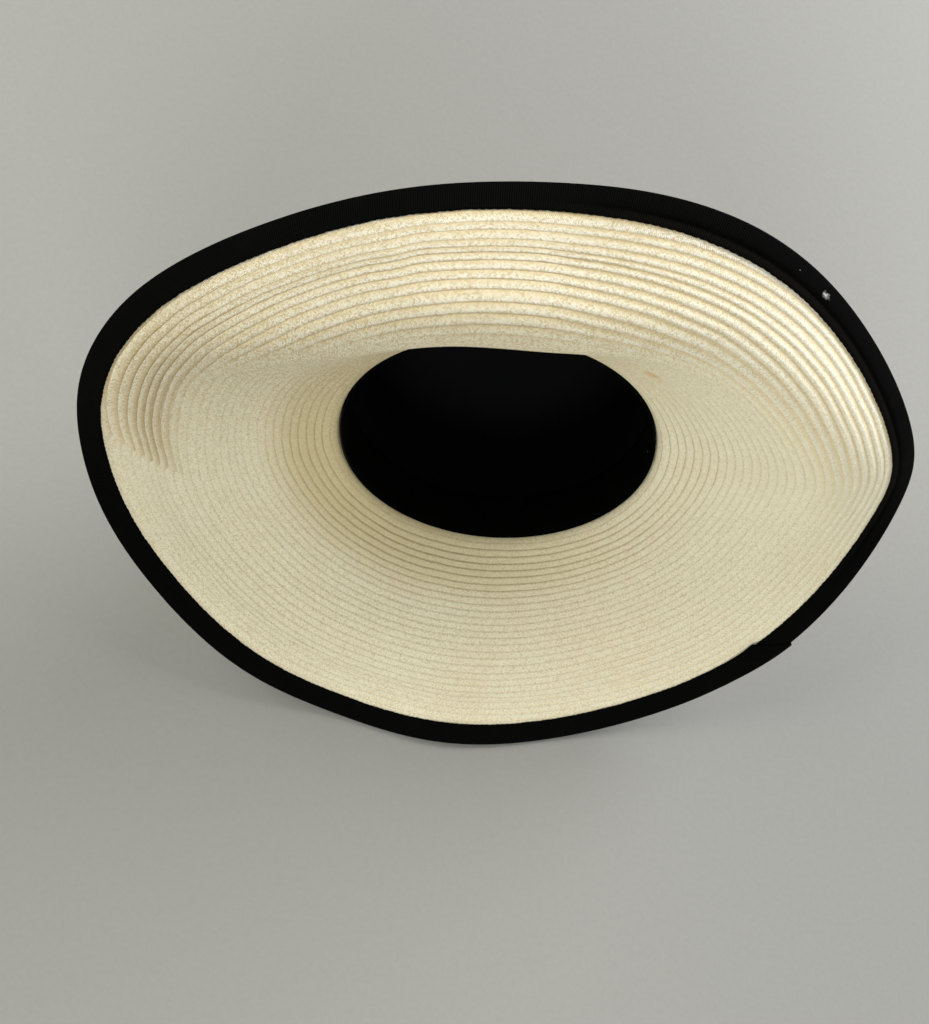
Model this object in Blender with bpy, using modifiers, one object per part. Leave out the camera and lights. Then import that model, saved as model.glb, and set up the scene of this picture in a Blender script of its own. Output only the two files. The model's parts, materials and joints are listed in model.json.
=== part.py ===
"""Floppy sun hat lying on its back: braided straw crown and brim, ribbon-bound edge, black ribbon and lining inside.

The hat is built as worn, with the head line at height 0, the crown up (+Z), the front of the brim
towards -Y and its right side, as the picture shows it, towards +X. It is then laid down at the end.
"""

import math

import bmesh
import bpy
import numpy as np
from mathutils import Matrix, Vector

MM = 0.001

# Straw
STRAW = 1.8 * MM
HEAD_RADIUS = 91.0 * MM
GAP = 0.3 * MM

# Crown, inner side of the straw
CROWN_HEIGHT = 105.0 * MM
CROWN_TOP_RADIUS = 86.0 * MM
CROWN_CORNER = 28.0 * MM
CORNER_STEPS = 4

# Brim, measured along the straw from the head line
BRIM_REACH = 139.5 * MM
HEAD_TURN = 6.0 * MM
ROLL_LENGTH = 50.0 * MM
REACH_STEPS = 13

# Ribbons and lining
RIBBON = 0.7 * MM
BINDING_LEG = 13.0 * MM
LAP_FROM_DEG = 115.0
LAP_TO_DEG = 120.0
SWEATBAND_LOW = 0.5 * MM
SWEATBAND_HIGH = 33.0 * MM
SWEATBAND = 0.9 * MM
LINING = 1.0 * MM

# Steps around the head
BRIM_SIDES = 72
CROWN_SIDES = 60

# One row for each section round the head: 0 is the front, 90 the right, 180 the back
# The brim leaves the head line falling by inner_fall, then turns at turn_at to rise by outer_rise
# A rise below 0 is a fall. The swing turns the section's plane sideways
SECTION_COLUMNS = ("azimuth_deg", "inner_fall_deg", "outer_rise_deg", "turn_at_mm", "swing_deg")
BRIM_SECTIONS = (
    (0, 51, 64, 71, 4.0),
    (20, 41, 47, 81, 4.0),
    (40, 35, 46, 92, 4.5),
    (60, 29, 36, 100, 4.0),
    (80, 17, 18, 102, 2.0),
    (100, 16, -10, 95, -0.5),
    (120, 25, -27, 90, -3.5),
    (140, 32, -39, 90, -4.0),
    (160, 41, -46, 90, -4.0),
    (180, 47, -52, 90, -1.0),
    (200, 44, -42, 90, 3.0),
    (220, 35, -43, 90, 4.0),
    (240, 23, -31, 90, 2.0),
    (260, 20, -10, 94, 0.0),
    (280, 22, 20, 110, -2.0),
    (300, 30, 42, 99, -3.5),
    (320, 44, 61, 80, -5.0),
    (340, 50, 70, 73, -1.5),
)

# Slot: (red, green, blue, roughness)
COLOURS = {
    "crown": (0.80, 0.71, 0.49, 0.75),
    "brim": (0.82, 0.74, 0.53, 0.75),
    "edge_binding": (0.012, 0.012, 0.013, 0.85),
    "binding_lap": (0.015, 0.015, 0.016, 0.85),
    "sweatband": (0.010, 0.010, 0.011, 0.85),
    "crown_lining": (0.008, 0.008, 0.009, 0.90),
}


# Scene
def clear_scene():
    for obj in list(bpy.data.objects):
        bpy.data.objects.remove(obj, do_unlink=True)


def new_collection(name):
    collection = bpy.data.collections.new(name)
    bpy.context.scene.collection.children.link(collection)
    return collection


def colour(obj):
    red, green, blue, roughness = COLOURS[obj.name]
    material = bpy.data.materials.new(obj.name)
    material.use_nodes = True
    shader = material.node_tree.nodes["Principled BSDF"]
    shader.inputs["Base Color"].default_value = (red, green, blue, 1.0)
    shader.inputs["Roughness"].default_value = roughness
    obj.data.materials.append(material)


def mesh_object(name, points, faces, collection):
    mesh = bpy.data.meshes.new(name)
    mesh.from_pydata([tuple(p) for p in points], [], faces)
    mesh.update()
    obj = bpy.data.objects.new(name, mesh)
    collection.objects.link(obj)
    colour(obj)
    return obj


def thicken(obj, thickness, offset):
    solid = obj.modifiers.new("thickness", "SOLIDIFY")
    solid.thickness = thickness
    solid.offset = offset


# Brim section table
def column(name):
    place = SECTION_COLUMNS.index(name)
    return np.array([row[place] for row in BRIM_SECTIONS], float)


def smooth_around(values, azimuths):
    """A smooth closed curve through one value for each section, read at these azimuths."""
    count = len(values)
    following = np.roll(np.eye(count), 1, axis=1)
    pull = 4.0 * np.eye(count) + following + following.T
    bend = np.linalg.solve(pull, 6.0 * (np.roll(values, -1) - 2.0 * values + np.roll(values, 1)))
    place = np.asarray(azimuths, float) / (360.0 / count)
    whole = np.floor(place).astype(int)
    part = place - whole
    this = whole % count
    after = (whole + 1) % count
    line = (1.0 - part) * values[this] + part * values[after]
    near = ((1.0 - part) ** 3 - (1.0 - part)) * bend[this] / 6.0
    far = (part**3 - part) * bend[after] / 6.0
    return line + near + far


def ease(share):
    share = np.clip(share, 0.0, 1.0)
    return share * share * (3.0 - 2.0 * share)


def slope_of(azimuths, reach):
    """The downward slope of the brim in radians, for each azimuth and each reach."""
    fall = smooth_around(column("inner_fall_deg"), azimuths)[:, None]
    rise = smooth_around(column("outer_rise_deg"), azimuths)[:, None]
    turn_at = smooth_around(column("turn_at_mm"), azimuths)[:, None] * MM
    rolled = ease((reach[None, :] - turn_at) / ROLL_LENGTH + 0.5)
    upright = 1.0 - ease((reach[None, :] + HEAD_TURN) / (2.0 * HEAD_TURN))
    slope = fall * (1.0 - rolled) - rise * rolled
    return np.radians(slope + (90.0 - slope) * upright)


def brim_surface(azimuths, reaches):
    """Points on the side that faces down when worn, as an array of azimuth, reach, axis."""
    azimuths = np.asarray(azimuths, float)
    fine = np.linspace(-HEAD_TURN, BRIM_REACH + 3.0 * MM, 300)
    slope = slope_of(azimuths, fine)
    step = fine[1] - fine[0]
    start = np.zeros((len(azimuths), 1))
    out = np.hstack([start, np.cumsum(np.cos(slope[:, 1:] / 2 + slope[:, :-1] / 2), axis=1) * step])
    down = np.hstack([start, np.cumsum(np.sin(slope[:, 1:] / 2 + slope[:, :-1] / 2), axis=1) * step])
    swung = np.radians(azimuths + smooth_around(column("swing_deg"), azimuths))
    straight = np.radians(azimuths)
    points = np.empty((len(azimuths), len(reaches), 3))
    for row in range(len(azimuths)):
        away = np.interp(reaches, fine, out[row])
        drop = np.interp(reaches, fine, down[row])
        points[row, :, 0] = HEAD_RADIUS * math.sin(straight[row]) + away * math.sin(swung[row])
        points[row, :, 1] = -HEAD_RADIUS * math.cos(straight[row]) - away * math.cos(swung[row])
        points[row, :, 2] = HEAD_TURN - drop
    return points


def brim_normals(azimuths, reaches):
    """Unit normals out of the side that faces up when worn."""
    azimuths = np.asarray(azimuths, float)
    reaches = np.asarray(reaches, float)
    along = brim_surface(azimuths, reaches + 0.5 * MM) - brim_surface(azimuths, reaches - 0.5 * MM)
    round_head = brim_surface(azimuths + 0.5, reaches) - brim_surface(azimuths - 0.5, reaches)
    normals = np.cross(along, round_head)
    return normals / np.linalg.norm(normals, axis=2, keepdims=True)


def ring_faces(rings, across, closed, mirror_from=None):
    """Pairs of triangles between rings of this many points, split the other way from one place on."""
    last = rings if closed else rings - 1
    faces = []
    for ring in range(last):
        following = (ring + 1) % rings
        for place in range(across - 1):
            near = ring * across + place
            far = following * across + place
            if mirror_from is not None and place >= mirror_from:
                faces += [(near, near + 1, far), (near + 1, far + 1, far)]
            else:
                faces += [(near, near + 1, far + 1), (near, far + 1, far)]
    return faces


# Pieces
def make_brim(collection):
    azimuths = np.arange(BRIM_SIDES) * 360.0 / BRIM_SIDES
    collar = [-HEAD_TURN, -0.7 * HEAD_TURN]
    leg = BRIM_REACH - BINDING_LEG
    bound = [BRIM_REACH - BINDING_LEG / 2, BRIM_REACH]
    reaches = np.concatenate([collar, np.linspace(0.0, leg, REACH_STEPS), bound])
    points = brim_surface(azimuths, reaches).reshape(-1, 3)
    obj = mesh_object("brim", points, ring_faces(BRIM_SIDES, len(reaches), True), collection)
    thicken(obj, STRAW, 1.0)
    return obj


def binding_section(clear):
    """(reach, height over the underside) round the brim's edge, this far clear of the straw."""
    low = -clear
    high = STRAW + clear
    corner = 1.35 * clear
    leg = BRIM_REACH - BINDING_LEG
    middle = BRIM_REACH - BINDING_LEG / 2
    return (
        (leg, low),
        (middle, low),
        (BRIM_REACH, low),
        (BRIM_REACH + corner, 0.0),
        (BRIM_REACH + corner, STRAW),
        (BRIM_REACH, high),
        (middle, high),
        (leg, high),
    )


def folded_ribbon(name, azimuths, clear, closed, collection):
    section = binding_section(clear)
    reaches = np.array([reach for reach, _ in section])
    heights = np.array([height for _, height in section])
    edge = np.minimum(reaches, BRIM_REACH)
    normals = brim_normals(azimuths, edge)
    points = brim_surface(azimuths, reaches) + normals * heights[None, :, None]
    faces = ring_faces(len(azimuths), len(section), closed, len(section) // 2)
    obj = mesh_object(name, points.reshape(-1, 3), faces, collection)
    thicken(obj, RIBBON, -1.0)
    return obj


def make_edge_binding(collection):
    azimuths = np.arange(BRIM_SIDES) * 360.0 / BRIM_SIDES
    return folded_ribbon("edge_binding", azimuths, GAP, True, collection)


def make_binding_lap(collection):
    azimuths = np.array([LAP_FROM_DEG, LAP_TO_DEG])
    return folded_ribbon("binding_lap", azimuths, 2 * GAP + RIBBON, False, collection)


def crown_profile(inset):
    """(radius, height) from the tip's centre down to the head line, this far inside the straw."""
    top = CROWN_HEIGHT - inset
    wall = CROWN_TOP_RADIUS - inset
    corner = CROWN_CORNER - inset
    points = [(0.0, top), (wall - corner, top)]
    for step in range(1, CORNER_STEPS + 1):
        angle = math.radians(90.0 * step / CORNER_STEPS)
        points.append((wall - corner + corner * math.sin(angle), top - corner + corner * math.cos(angle)))
    return points


def turned(name, profile, collection):
    """A shell of revolution from an open profile."""
    points = [(radius, 0.0, height) for radius, height in profile]
    mesh = bpy.data.meshes.new(name)
    mesh.from_pydata(points, [(i, i + 1) for i in range(len(points) - 1)], [])
    obj = bpy.data.objects.new(name, mesh)
    collection.objects.link(obj)
    colour(obj)
    screw = obj.modifiers.new("turn", "SCREW")
    screw.steps = CROWN_SIDES
    screw.render_steps = CROWN_SIDES
    screw.use_merge_vertices = True
    screw.merge_threshold = 0.00005
    screw.use_normal_calculate = True
    return obj


def make_crown(collection):
    profile = crown_profile(0.0) + [(HEAD_RADIUS, HEAD_TURN + GAP)]
    obj = turned("crown", profile, collection)
    thicken(obj, STRAW, 1.0)
    return obj


def make_crown_lining(collection):
    profile = crown_profile(GAP)
    share = (CROWN_HEIGHT - CROWN_CORNER - SWEATBAND_HIGH) / (CROWN_HEIGHT - CROWN_CORNER)
    low_radius = CROWN_TOP_RADIUS + (HEAD_RADIUS - CROWN_TOP_RADIUS) * share
    profile.append((low_radius - GAP, SWEATBAND_HIGH + GAP))
    obj = turned("crown_lining", profile, collection)
    thicken(obj, LINING, -1.0)
    return obj


def make_sweatband(collection):
    share = SWEATBAND_HIGH / (CROWN_HEIGHT - CROWN_CORNER)
    high_radius = HEAD_RADIUS - (HEAD_RADIUS - CROWN_TOP_RADIUS) * share
    profile = [(high_radius - GAP, SWEATBAND_HIGH), (HEAD_RADIUS - 1.5 * GAP, SWEATBAND_LOW)]
    obj = turned("sweatband", profile, collection)
    thicken(obj, SWEATBAND, -1.0)
    return obj


# Laying down
def world_triangles(objects):
    """Each object's evaluated triangles in the worn position."""
    graph = bpy.context.evaluated_depsgraph_get()
    corners = []
    for obj in objects:
        evaluated = obj.evaluated_get(graph)
        mesh = evaluated.to_mesh()
        mesh.calc_loop_triangles()
        points = [evaluated.matrix_world @ vertex.co for vertex in mesh.vertices]
        for triangle in mesh.loop_triangles:
            corners.append([tuple(points[index]) for index in triangle.vertices])
        evaluated.to_mesh_clear()
    return np.array(corners)


def centre_of_mass(triangles):
    volumes = np.einsum("ij,ij->i", triangles[:, 0], np.cross(triangles[:, 1], triangles[:, 2]))
    return Vector((triangles.sum(axis=1) * volumes[:, None]).sum(axis=0) / (4.0 * volumes.sum()))


def resting_normal(triangles, centre):
    """The outward normal of the hull face that carries the hat when it lies on its back."""
    hull = bmesh.new()
    for point in np.unique(triangles.reshape(-1, 3).round(7), axis=0):
        hull.verts.new(point)
    bmesh.ops.convex_hull(hull, input=hull.verts)
    hull.normal_update()
    back = Vector((0.0, 1.0, 0.5)).normalized()
    best = max(
        (face for face in hull.faces if carries(face, centre)),
        key=lambda face: face.normal.dot(back),
    )
    normal = best.normal.copy()
    hull.free()
    return normal


def carries(face, centre):
    """Whether the centre of mass is straight over the face."""
    corners = [vertex.co for vertex in face.verts]
    for near, far in zip(corners, corners[1:] + corners[:1]):
        if (far - near).cross(centre - near).dot(face.normal) < 0.0:
            return False
    return True


def lay_down(objects):
    triangles = world_triangles(objects)
    normal = resting_normal(triangles, centre_of_mass(triangles))
    level = normal.rotation_difference(Vector((0.0, 0.0, -1.0))).to_matrix()
    sideways = level @ Vector((1.0, 0.0, 0.0))
    spin = Matrix.Rotation(-math.atan2(sideways.y, sideways.x), 3, "Z")
    turn = spin @ level
    laid = triangles.reshape(-1, 3) @ np.array(turn).T
    low = laid.min(axis=0)
    high = laid.max(axis=0)
    shift = Vector((-(low[0] + high[0]) / 2, -(low[1] + high[1]) / 2, -low[2]))
    placed = Matrix.Translation(shift) @ turn.to_4x4()
    for obj in objects:
        obj.matrix_world = placed @ obj.matrix_world
    return placed


def main():
    clear_scene()
    collection = new_collection("floppy_sun_hat")
    objects = [
        make_crown(collection),
        make_brim(collection),
        make_edge_binding(collection),
        make_binding_lap(collection),
        make_sweatband(collection),
        make_crown_lining(collection),
    ]
    bpy.context.view_layer.update()
    placed = lay_down(objects)
    bpy.context.view_layer.update()
    print("laid down by", [[round(value, 5) for value in row] for row in placed])


main()
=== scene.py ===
"""Looks of the floppy sun hat: sewn rows of braided straw, a grosgrain binding, black band and lining.

Shapes are worked out in the hat's worn frame: head line at height 0, crown up (+Z), front towards -Y,
azimuth 0 at the front and 90 on the right. The flat tip of the frame's crown then gives the lying pose.
"""

import functools
import json
import math

import bpy
import numpy as np
from mathutils import Euler, Matrix, Vector

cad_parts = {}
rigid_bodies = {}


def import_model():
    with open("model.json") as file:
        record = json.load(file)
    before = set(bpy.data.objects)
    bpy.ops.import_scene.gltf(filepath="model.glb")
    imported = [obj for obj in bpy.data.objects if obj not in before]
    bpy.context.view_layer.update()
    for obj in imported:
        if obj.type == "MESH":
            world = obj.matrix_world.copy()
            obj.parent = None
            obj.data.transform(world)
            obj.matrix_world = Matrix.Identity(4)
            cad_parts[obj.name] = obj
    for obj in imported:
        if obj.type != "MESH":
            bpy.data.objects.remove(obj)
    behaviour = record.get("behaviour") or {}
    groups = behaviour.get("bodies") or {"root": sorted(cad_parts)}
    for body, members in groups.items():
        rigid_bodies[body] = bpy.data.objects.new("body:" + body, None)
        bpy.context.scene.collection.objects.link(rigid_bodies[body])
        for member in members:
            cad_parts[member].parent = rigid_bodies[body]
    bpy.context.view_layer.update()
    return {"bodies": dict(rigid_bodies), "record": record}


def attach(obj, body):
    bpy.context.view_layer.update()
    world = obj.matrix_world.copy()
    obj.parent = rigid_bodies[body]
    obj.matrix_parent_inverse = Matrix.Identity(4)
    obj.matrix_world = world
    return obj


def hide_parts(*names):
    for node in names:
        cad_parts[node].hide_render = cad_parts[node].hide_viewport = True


MM = 0.001

# Sizes of the frame's solids
STRAW = 1.8 * MM
HEAD_RADIUS = 91.0 * MM
GAP = 0.3 * MM
CROWN_HEIGHT = 105.0 * MM
CROWN_TOP_RADIUS = 86.0 * MM
CROWN_CORNER = 28.0 * MM
BRIM_REACH = 139.5 * MM
HEAD_TURN = 6.0 * MM
ROLL_LENGTH = 50.0 * MM
RIBBON = 0.7 * MM
BINDING_LEG = 13.0 * MM
LAP_FROM_DEG = 115.0
SWEATBAND_LOW = 0.5 * MM
SWEATBAND_HIGH = 33.0 * MM
SWEATBAND = 0.9 * MM
LINING = 1.0 * MM

# One row for each section round the head: 0 is the front, 90 the right, 180 the back
SECTION_COLUMNS = ("azimuth_deg", "inner_fall_deg", "outer_rise_deg", "turn_at_mm", "swing_deg")
BRIM_SECTIONS = (
    (0, 51, 64, 71, 4.0),
    (20, 41, 47, 81, 4.0),
    (40, 35, 46, 92, 4.5),
    (60, 29, 36, 100, 4.0),
    (80, 17, 18, 102, 2.0),
    (100, 16, -10, 95, -0.5),
    (120, 25, -27, 90, -3.5),
    (140, 32, -39, 90, -4.0),
    (160, 41, -46, 90, -4.0),
    (180, 47, -52, 90, -1.0),
    (200, 44, -42, 90, 3.0),
    (220, 35, -43, 90, 4.0),
    (240, 23, -31, 90, 2.0),
    (260, 20, -10, 94, 0.0),
    (280, 22, 20, 110, -2.0),
    (300, 30, 42, 99, -3.5),
    (320, 44, 61, 80, -5.0),
    (340, 50, 70, 73, -1.5),
)

# How far the bead of a row and the pleat of the whole straw stand up, the reach that the pleats start from,
# how dark the row lines of seam and painted shade are, how strong the painted highlight on the beads and the
# painted shade in the grooves are, and how clearly the strands show
RELIEF_COLUMNS = ("azimuth_deg", "bead_mm", "pleat_mm", "pleats_from_mm", "line", "painted_relief_light", "weave")
BRIM_RELIEF = (
    (0, 0.38, 0.18, 68, 0.78, 1.00, 0.60),
    (20, 0.34, 0.24, 70, 0.55, 1.00, 0.42),
    (40, 0.28, 0.28, 74, 0.28, 0.90, 0.22),
    (60, 0.28, 0.30, 82, 0.18, 0.80, 0.15),
    (80, 0.28, 0.26, 90, 0.18, 0.65, 0.15),
    (100, 0.24, 0.10, 95, 0.38, 0.40, 0.25),
    (120, 0.20, 0.00, 95, 0.48, 0.25, 0.32),
    (140, 0.18, 0.00, 95, 0.46, 0.20, 0.34),
    (160, 0.18, 0.00, 95, 0.40, 0.20, 0.34),
    (180, 0.18, 0.00, 95, 0.36, 0.20, 0.34),
    (200, 0.18, 0.00, 95, 0.34, 0.20, 0.34),
    (220, 0.18, 0.00, 95, 0.32, 0.20, 0.34),
    (240, 0.16, 0.00, 95, 0.26, 0.20, 0.34),
    (260, 0.12, 1.25, 92, 0.20, 0.45, 0.34),
    (280, 0.12, 1.40, 92, 0.20, 0.60, 0.52),
    (300, 0.24, 0.66, 88, 0.36, 0.70, 0.90),
    (320, 0.36, 0.22, 76, 0.66, 0.80, 0.88),
    (340, 0.38, 0.18, 70, 0.78, 0.95, 0.70),
)
PLEAT_FADE = 22.0 * MM
# Near the opening the rows are sharper all round, their dark lines of seam and painted shade stronger, and
# the straw darker and yellower, most of all on the left
INNER_BEAD = 0.34 * MM
INNER_LINE = 0.95
INNER_MIDDLE = 36.0 * MM
INNER_FADE = 34.0 * MM
YELLOW_AZIMUTH_DEG = 250.0
YELLOW_MEAN = 0.55
YELLOW_SWING = 0.45
# The relief starts past the head line, is flatter in the outer rows and ends at the binding
RELIEF_FROM = 2.0 * MM
RELIEF_FADE = 8.0 * MM
OUTER_FROM = 103.0 * MM
OUTER_FADE = 10.0 * MM
OUTER_FLAT = 0.5
EDGE_FADE = 3.0 * MM
# On the left, past this azimuth, the pleats are ridges, with painted shade on their slopes and a painted
# highlight on their crests where they are deep
RIDGES_FROM_DEG = 200.0
RIDGES_FADE_DEG = 4.0
RIDGED_FROM_MM = 0.3
RIDGED_OVER_MM = 0.5
# The shares of the painted highlight on the beads and the painted shade in the grooves that are left outside
# the pleats and on the top side
PAINTED_RELIEF_LEAST = 0.25
PAINTED_RELIEF_ON_TOP = 0.3

# Sewn rows of braid: widths from the binding inwards, at the front, and an even pitch further in
ROW_PITCH = 4.6 * MM
OUTER_ROWS_MM = (5.6, 4.0, 4.3, 3.5, 2.9, 3.6, 4.3, 4.6, 4.6, 5.4, 4.8, 5.0)
STRAND = 0.85 * MM
BINDING_FROM = BRIM_REACH - BINDING_LEG
BRAID_TO = BINDING_FROM + 4.0 * MM
# How fine the meshes are
SPARE_ROWS = 3
BRIM_COLUMNS = 350
CROWN_COLUMNS = 240
CROWN_INNER_LINES = 40
FINE_STEPS = 300
FINE_MARGIN = 3.0 * MM
HALF_STEP_DEG = 0.5
SHARP_DEG = 60.0
WELD = 0.002 * MM
THINNEST = 0.0005 * MM

# Across a row, from its inner edge, on the row before, to its outer edge, under the next
PROFILE_COLUMNS = ("share", "bead", "pleat", "ridge")
FACE_PROFILE = (
    (0.00, -0.50, -0.70, -0.90),
    (0.07, 0.38, 0.05, -0.75),
    (0.20, 1.00, 0.95, -0.45),
    (0.38, 0.60, 0.85, 0.00),
    (0.64, 0.05, 0.00, 0.75),
    (0.88, -0.30, -0.90, 1.00),
)
BACK_PROFILE = (
    (0.00, -0.90, -0.70, -0.90),
    (0.42, 0.20, 0.90, 0.10),
    (0.88, 1.00, -0.90, 1.00),
)
CROWN_PROFILE = (
    (0.00, -1.00),
    (0.10, -0.30),
    (0.45, 0.30),
    (0.80, 1.00),
    (0.95, 0.60),
)
CROWN_BEAD = 0.35 * MM
CROWN_TIP_FADE = 6.0 * MM
CROWN_END_FADE = 2.0 * MM
# What a point carries for its material: how dark its row line of seam and painted shade is, how near the
# opening and how rolled it is, then how clearly its strands show, how strong the painted highlight on its
# bead and the painted shade in its grooves are, and how deep in the left ridges it is
NO_MARKS = (0.0, 0.0, 0.0, 0.4, 0.0, 0.0)
CROWN_MARKS = (0.6, 0.0, 0.0, 0.7, 0.3, 0.0)
# The row lines wander by sines, each starting further on: (times round the head, how far in mm)
ROW_WANDER = ((2.31, 0.14), (5.03, 0.16), (13.04, 0.12), (29.07, 0.07), (47.1, 0.04))
WANDER_START = 1.7
# A crease on the left, where the ridges end, slants by so many degrees for each mm of reach
CREASE_AZIMUTH_DEG = 267.0
CREASE_REACH_MM = 105.0
CREASE_SLANT_DEG = 0.33
CREASE_WIDTH_DEG = 3.2
CREASE_DEPTH = 1.5 * MM
CREASE_FROM = 92.0 * MM
CREASE_FADE = 22.0 * MM
CREASE_EDGE_FADE = 3.0 * EDGE_FADE
# There the rows buckle in towards the opening, at once before it and slowly back after it
BUCKLE = 3.4 * MM
BUCKLE_FROM = 88.0 * MM
BUCKLE_FADE = 14.0 * MM
BUCKLE_BEFORE_DEG = 1.6
BUCKLE_AFTER_DEG = 8.0
# In the ridges on the left the rows lie wider, and further in they lie closer
SPREAD_AZIMUTH_DEG = 278.0
SPREAD_WIDTH_DEG = 20.0
SPREAD_REACH = 75.0 * MM
SPREAD_SHIFT = 5.5 * MM
# From the front to the right the outermost row runs out under the binding, and the next ones widen
RUN_OUT_FROM_DEG = 0.0
RUN_OUT_OVER_DEG = 38.0
RUN_BACK_FROM_DEG = 110.0
RUN_BACK_OVER_DEG = 90.0
RUN_OUT_ALL = 1.2 * MM
RUN_OUT_OUTER = 4.0 * MM
RUN_OUT_DEPTH = 10.0 * MM
RUN_OUT_FADE = 18.0 * MM
# Softer bends of the rows: (azimuth_deg, reach_mm, size_mm, width_deg)
BEND_REACH = 17.0 * MM
BEND_PEAK = 2.3
BENDS = (
    (337.5, 104.0, 0.50, 3.0),
    (303.0, 118.0, 0.30, 3.0),
    (22.0, 100.0, 0.20, 4.0),
    (52.0, 112.0, 0.20, 4.0),
)

# The ribbons. Across the binding, from its inner edge to its nose, on the side that faces down when worn
RIBBON_COLUMNS = 1080
BINDING_SECTION_COLUMNS = ("share", "height_mm", "fold_and_painted_shade")
BINDING_SECTION = (
    (0.000, 0.35, 0.0),
    (0.015, 0.80, 0.0),
    (0.100, 1.00, 0.0),
    (0.200, 1.04, 0.0),
    (0.270, 1.00, 0.6),
    (0.330, 0.98, 1.0),
    (0.390, 1.00, 0.6),
    (0.460, 1.06, 0.0),
    (0.600, 1.16, 0.0),
    (0.780, 1.16, 0.0),
    (0.920, 1.06, 0.0),
)
NOSE_STEPS = 8
NOSE_OUT = 0.55
NOSE_IN = 0.4
NOSE_STILL = 4.0 * MM
# A long fold at the upper right, with painted shade in it, by the cosine of the angle from its middle, and
# an inner zone with a warmer painted highlight on the ribs' tops
CHANNEL_DEPTH = 0.55 * MM
CHANNEL_AZIMUTH_DEG = 48.0
CHANNEL_FROM_COS = 0.55
CHANNEL_FADE_COS = 0.3
ZONE_TO = 0.22
ZONE_FADE = 0.14
# The binding's inner edge strays by noise, (size_mm, smoothed over, seed), and gives way at each stitch
BINDING_STRAY = ((0.16, 30, 5), (0.20, 5, 6))
STITCH_DENT = 0.24 * MM
STITCH_COLUMNS = 3
# The lap starts aslant, with its columns closer there, and sinks into the binding further on
LAP_INNER_DEG = 2.5
LAP_SLANT_DEG = -4.5
LAP_OUT_DEG = 127.0
LAP_FINE_MARGINS_DEG = (4.0, 1.0)
LAP_FINE_COLUMNS = 181
LAP_COLUMNS = 60
LAP_CROWDING = 1.3
LAP_RISE = 1.3 * MM
LAP_OVERHANG = 1.1 * MM
LAP_UNDER = 0.04 * MM
LAP_THIN = 0.06 * MM
LAP_NOSE = 0.5 * MM
LAP_NOSE_FLAT = 0.6
# The sweatband stands loose in its middle, by (smoothed over, seed), thinner at its edges
BAND_COLUMNS = 480
BAND_LINES = 16
BAND_LOOSE = 0.8 * MM
BAND_SWELL = (24, 11)
BAND_THIN = 0.45
BAND_EDGE_FROM = 0.02
BAND_EDGE_FADE = 0.05
# Where the sweatband's lower edge is paler: round this azimuth, over this width
PALE_EDGE_AZIMUTH_DEG = 258.0
PALE_EDGE_WIDTH_DEG = 14.0
# The lining's gathers on the wall, strayed by (smoothed over, seed), and its seam round the tip
LINING_LINES = 64
GATHERS = 34.0
GATHER_STRAY = 1.5
GATHER_NOISE = (60, 21)
GATHER_DEPTH = 1.5 * MM
GATHERED_FROM = 50.0 * MM
GATHERED_FADE = 30.0 * MM
SEAM_AT = 56.0 * MM
SEAM_WIDTH = 1.6 * MM
SEAM_DEPTH = 0.5 * MM

# Across a row, where each zone of its colour runs: (from this share, to this, value before, value past it)
ROW_ZONES = {
    "bead": (0.30, 0.60, 1.0, 0.0),
    "painted_groove_shade": (0.42, 0.92, 0.0, 1.0),
    "step_up": (0.02, 0.12, 1.0, 0.0),
    "step_down": (0.95, 1.00, 0.0, 1.0),
    "slope": (0.05, 0.66, 1.0, 0.0),
    "painted_crest_highlight": (0.66, 0.80, 0.0, 1.0),
}
# The straw where its strands are faint and where they are clear, and the layers over it, in turn:
# (name, strength, colour)
STRAW_FAINT = (0.99, 0.965, 0.765)
STRAW_CLEAR = (0.97, 0.925, 0.755)
STRAW_LAYERS = (
    ("cloud", 1.00, (0.90, 0.81, 0.60)),
    ("opening", 0.78, (0.62, 0.53, 0.26)),
    # Painted light on the rows: a highlight on the beads, shade in the grooves, lines partly seam and partly
    # shade, shade on the ridges' slopes and a highlight on their crests
    ("bead", 0.78, (1.0, 0.985, 0.92)),
    ("painted_groove_shade", 0.68, (0.84, 0.65, 0.35)),
    ("line", 0.80, (0.50, 0.35, 0.15)),
    ("slope", 0.90, (0.60, 0.46, 0.25)),
    ("painted_crest_highlight", 0.80, (1.0, 0.96, 0.80)),
    ("tone", 1.00, (0.66, 0.53, 0.31)),
    # Painted shade at the strands' edges, then a painted glint on the palest strands
    ("edge", 0.62, (0.56, 0.43, 0.22)),
    ("painted_glint", 0.60, (1.0, 0.98, 0.88)),
    ("hole", 1.00, (0.20, 0.14, 0.06)),
    ("bark", 0.70, (0.16, 0.10, 0.05)),
    ("stain", 0.55, (0.72, 0.40, 0.14)),
)
RIBBON_LAYERS = (
    ("wear", 1.00, (0.0038, 0.0040, 0.0036)),
    # Painted shade in the long fold
    ("fold_and_painted_shade", 0.90, (0.0001, 0.0001, 0.0001)),
    # A warmer painted highlight on the ribs' tops in the inner zone next to the straw
    ("warm_tip_highlight", 0.80, (0.0092, 0.0074, 0.0056)),
    # Paler at the sweatband's lower edge round one azimuth
    ("pale_lower_edge", 0.70, (0.045, 0.043, 0.038)),
)
# Painted shade at the ribs' feet and a painted highlight on the ribs' tops
RIB_FOOT_SHADE = (0.0004, 0.0005, 0.0005)
RIB_TIP_HIGHLIGHT = (0.0034, 0.0040, 0.0036)
LINING_TONES = ((0.0018, 0.0020, 0.0022), (0.0036, 0.0039, 0.0042))
FLOOR_TONES = ((0.285, 0.285, 0.282), (0.318, 0.318, 0.315))
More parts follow.
